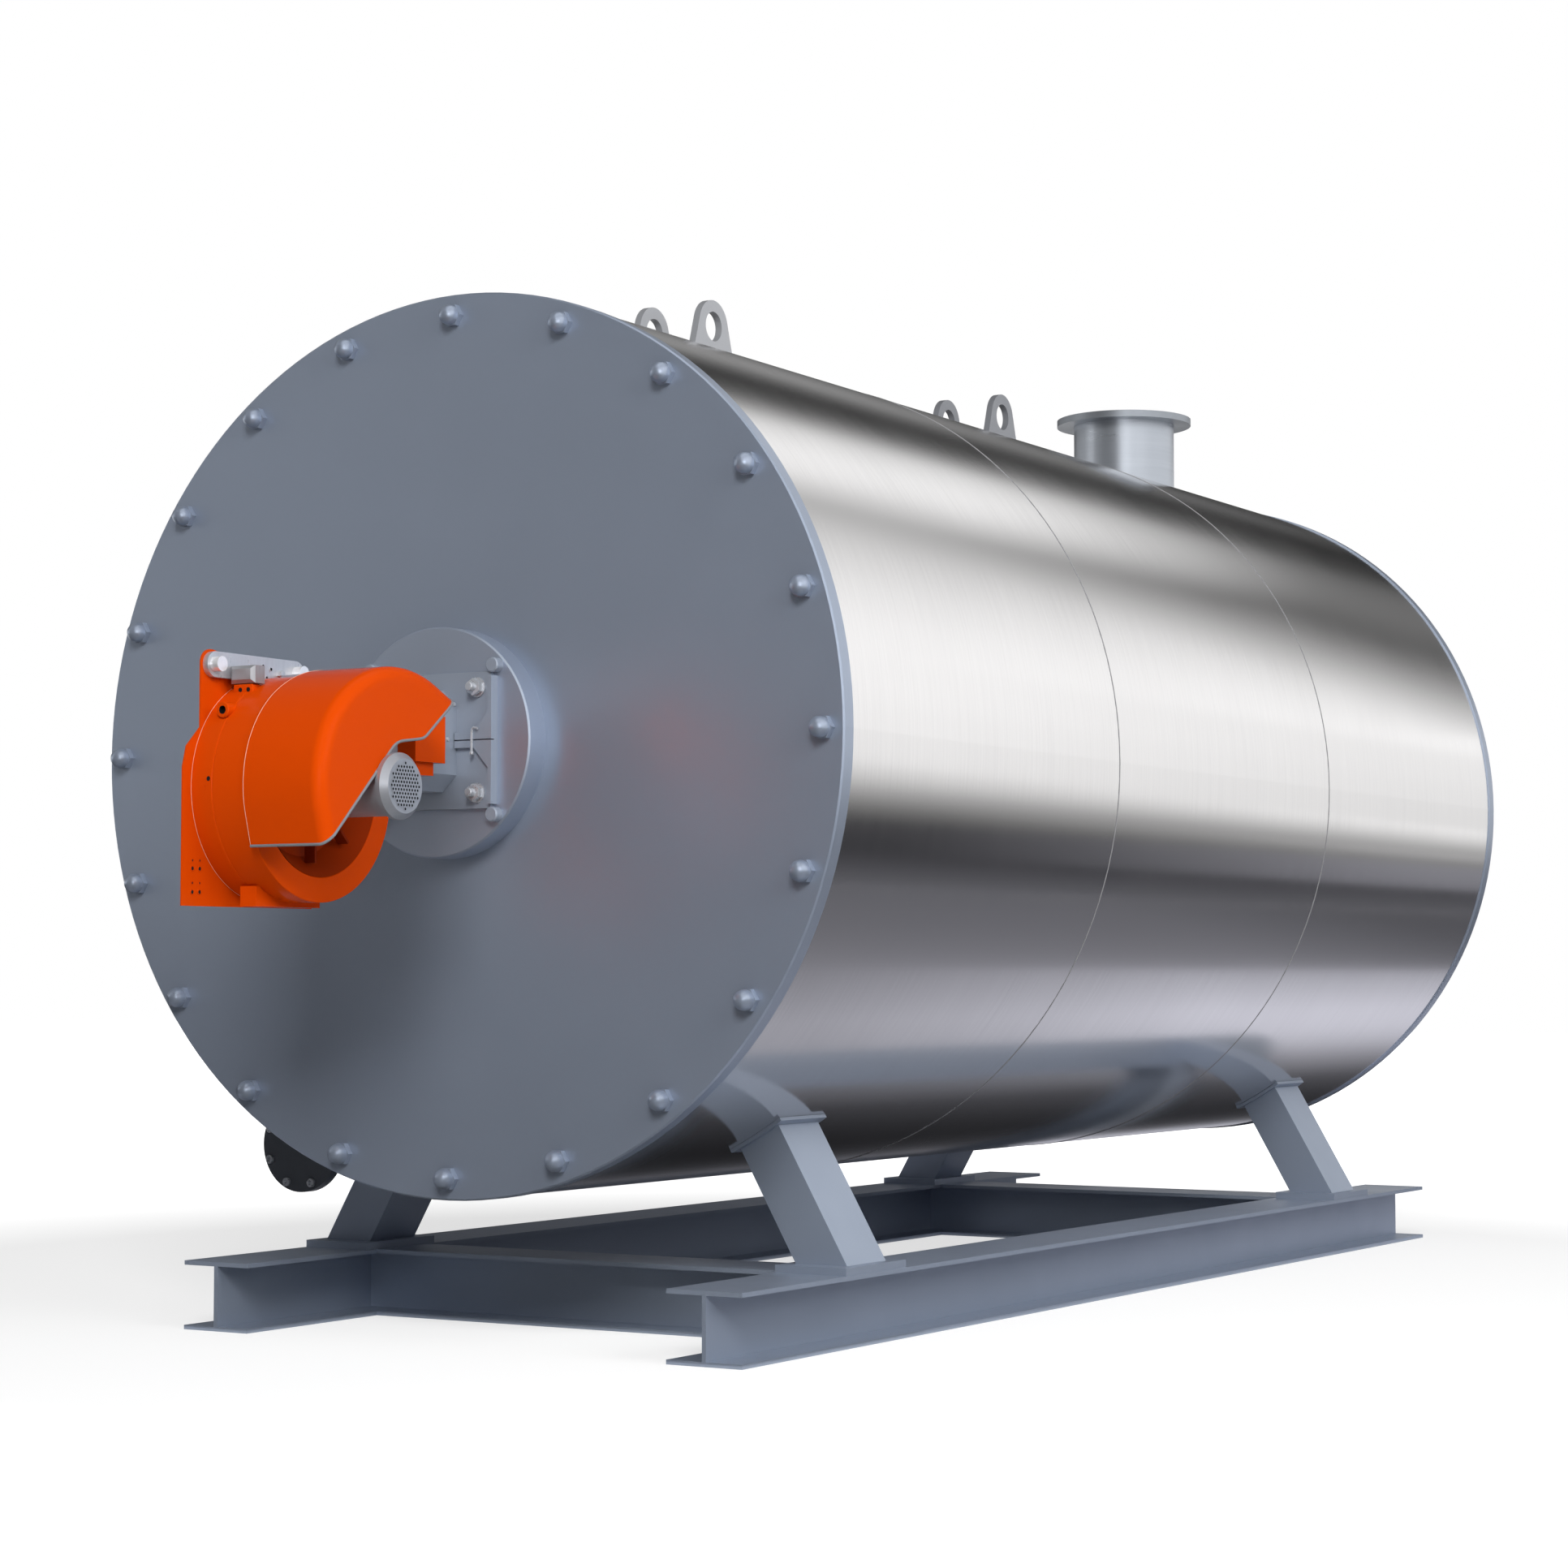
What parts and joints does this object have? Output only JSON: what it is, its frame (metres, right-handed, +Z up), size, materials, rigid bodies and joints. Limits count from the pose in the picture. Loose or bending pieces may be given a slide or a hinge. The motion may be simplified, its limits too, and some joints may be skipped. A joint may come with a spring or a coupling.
{
  "type": "industrial boiler",
  "caption": "Horizontal cylindrical hot-water boiler with bolted front plate, fan burner, polished cladding, flue stack and lifting lugs, on splayed legs and an I-beam skid frame.",
  "frame": {"origin": "on the ground under the middle of the whole object", "axes": "+Z up, +Y from the burner towards the rear plate, +X to the right seen from the burner"},
  "size_m": [2.2, 5.271, 2.794],
  "materials": {
    "plate_paint": "satin blue-grey paint",
    "jacket_steel": "polished stainless cladding",
    "stack_steel": "satin grey metal",
    "frame_paint": "satin blue-grey paint",
    "lug_paint": "light grey paint",
    "nozzle_paint": "dark grey paint",
    "burner_paint": "glossy orange enamel",
    "burner_steel": "grey paint",
    "motor_aluminium": "cast aluminium",
    "valve_metal": "bright plated steel"
  },
  "bodies": {
    "root": {"front_plate": "plate_paint", "rear_plate": "plate_paint", "burner_boss": "plate_paint", "shell_front_course": "jacket_steel", "shell_middle_course": "jacket_steel", "shell_rear_course": "jacket_steel", "flue_stack": "stack_steel", "flue_flange": "stack_steel", "skid_left": "frame_paint", "skid_right": "frame_paint", "cross_beam_front": "frame_paint", "cross_beam_rear": "frame_paint", "leg_front_left": "frame_paint", "leg_front_right": "frame_paint", "leg_rear_left": "frame_paint", "leg_rear_right": "frame_paint", "saddle_plate_front_left": "frame_paint", "saddle_plate_front_right": "frame_paint", "saddle_plate_rear_left": "frame_paint", "saddle_plate_rear_right": "frame_paint", "foot_pad_front_left": "frame_paint", "foot_pad_front_right": "frame_paint", "foot_pad_rear_left": "frame_paint", "foot_pad_rear_right": "frame_paint", "lifting_lug_front_left": "lug_paint", "lifting_lug_front_right": "lug_paint", "lifting_lug_rear_left": "lug_paint", "lifting_lug_rear_right": "lug_paint", "crown_socket": "lug_paint", "nozzle_pipe": "nozzle_paint", "nozzle_flange": "nozzle_paint", "blind_flange": "nozzle_paint", "burner_casing": "burner_paint", "burner_hood": "burner_paint", "burner_side_plate": "burner_paint", "intake_vanes": "burner_paint", "control_box": "burner_paint", "burner_mount_plate": "burner_steel", "burner_hinge_bar": "burner_steel", "burner_neck": "burner_steel", "fan_motor": "motor_aluminium", "motor_end_cover": "motor_aluminium", "valve_bar": "valve_metal", "valve_knob_front": "valve_metal", "valve_knob_rear": "valve_metal", "valve_block": "valve_metal"}
  },
  "joints": []
}
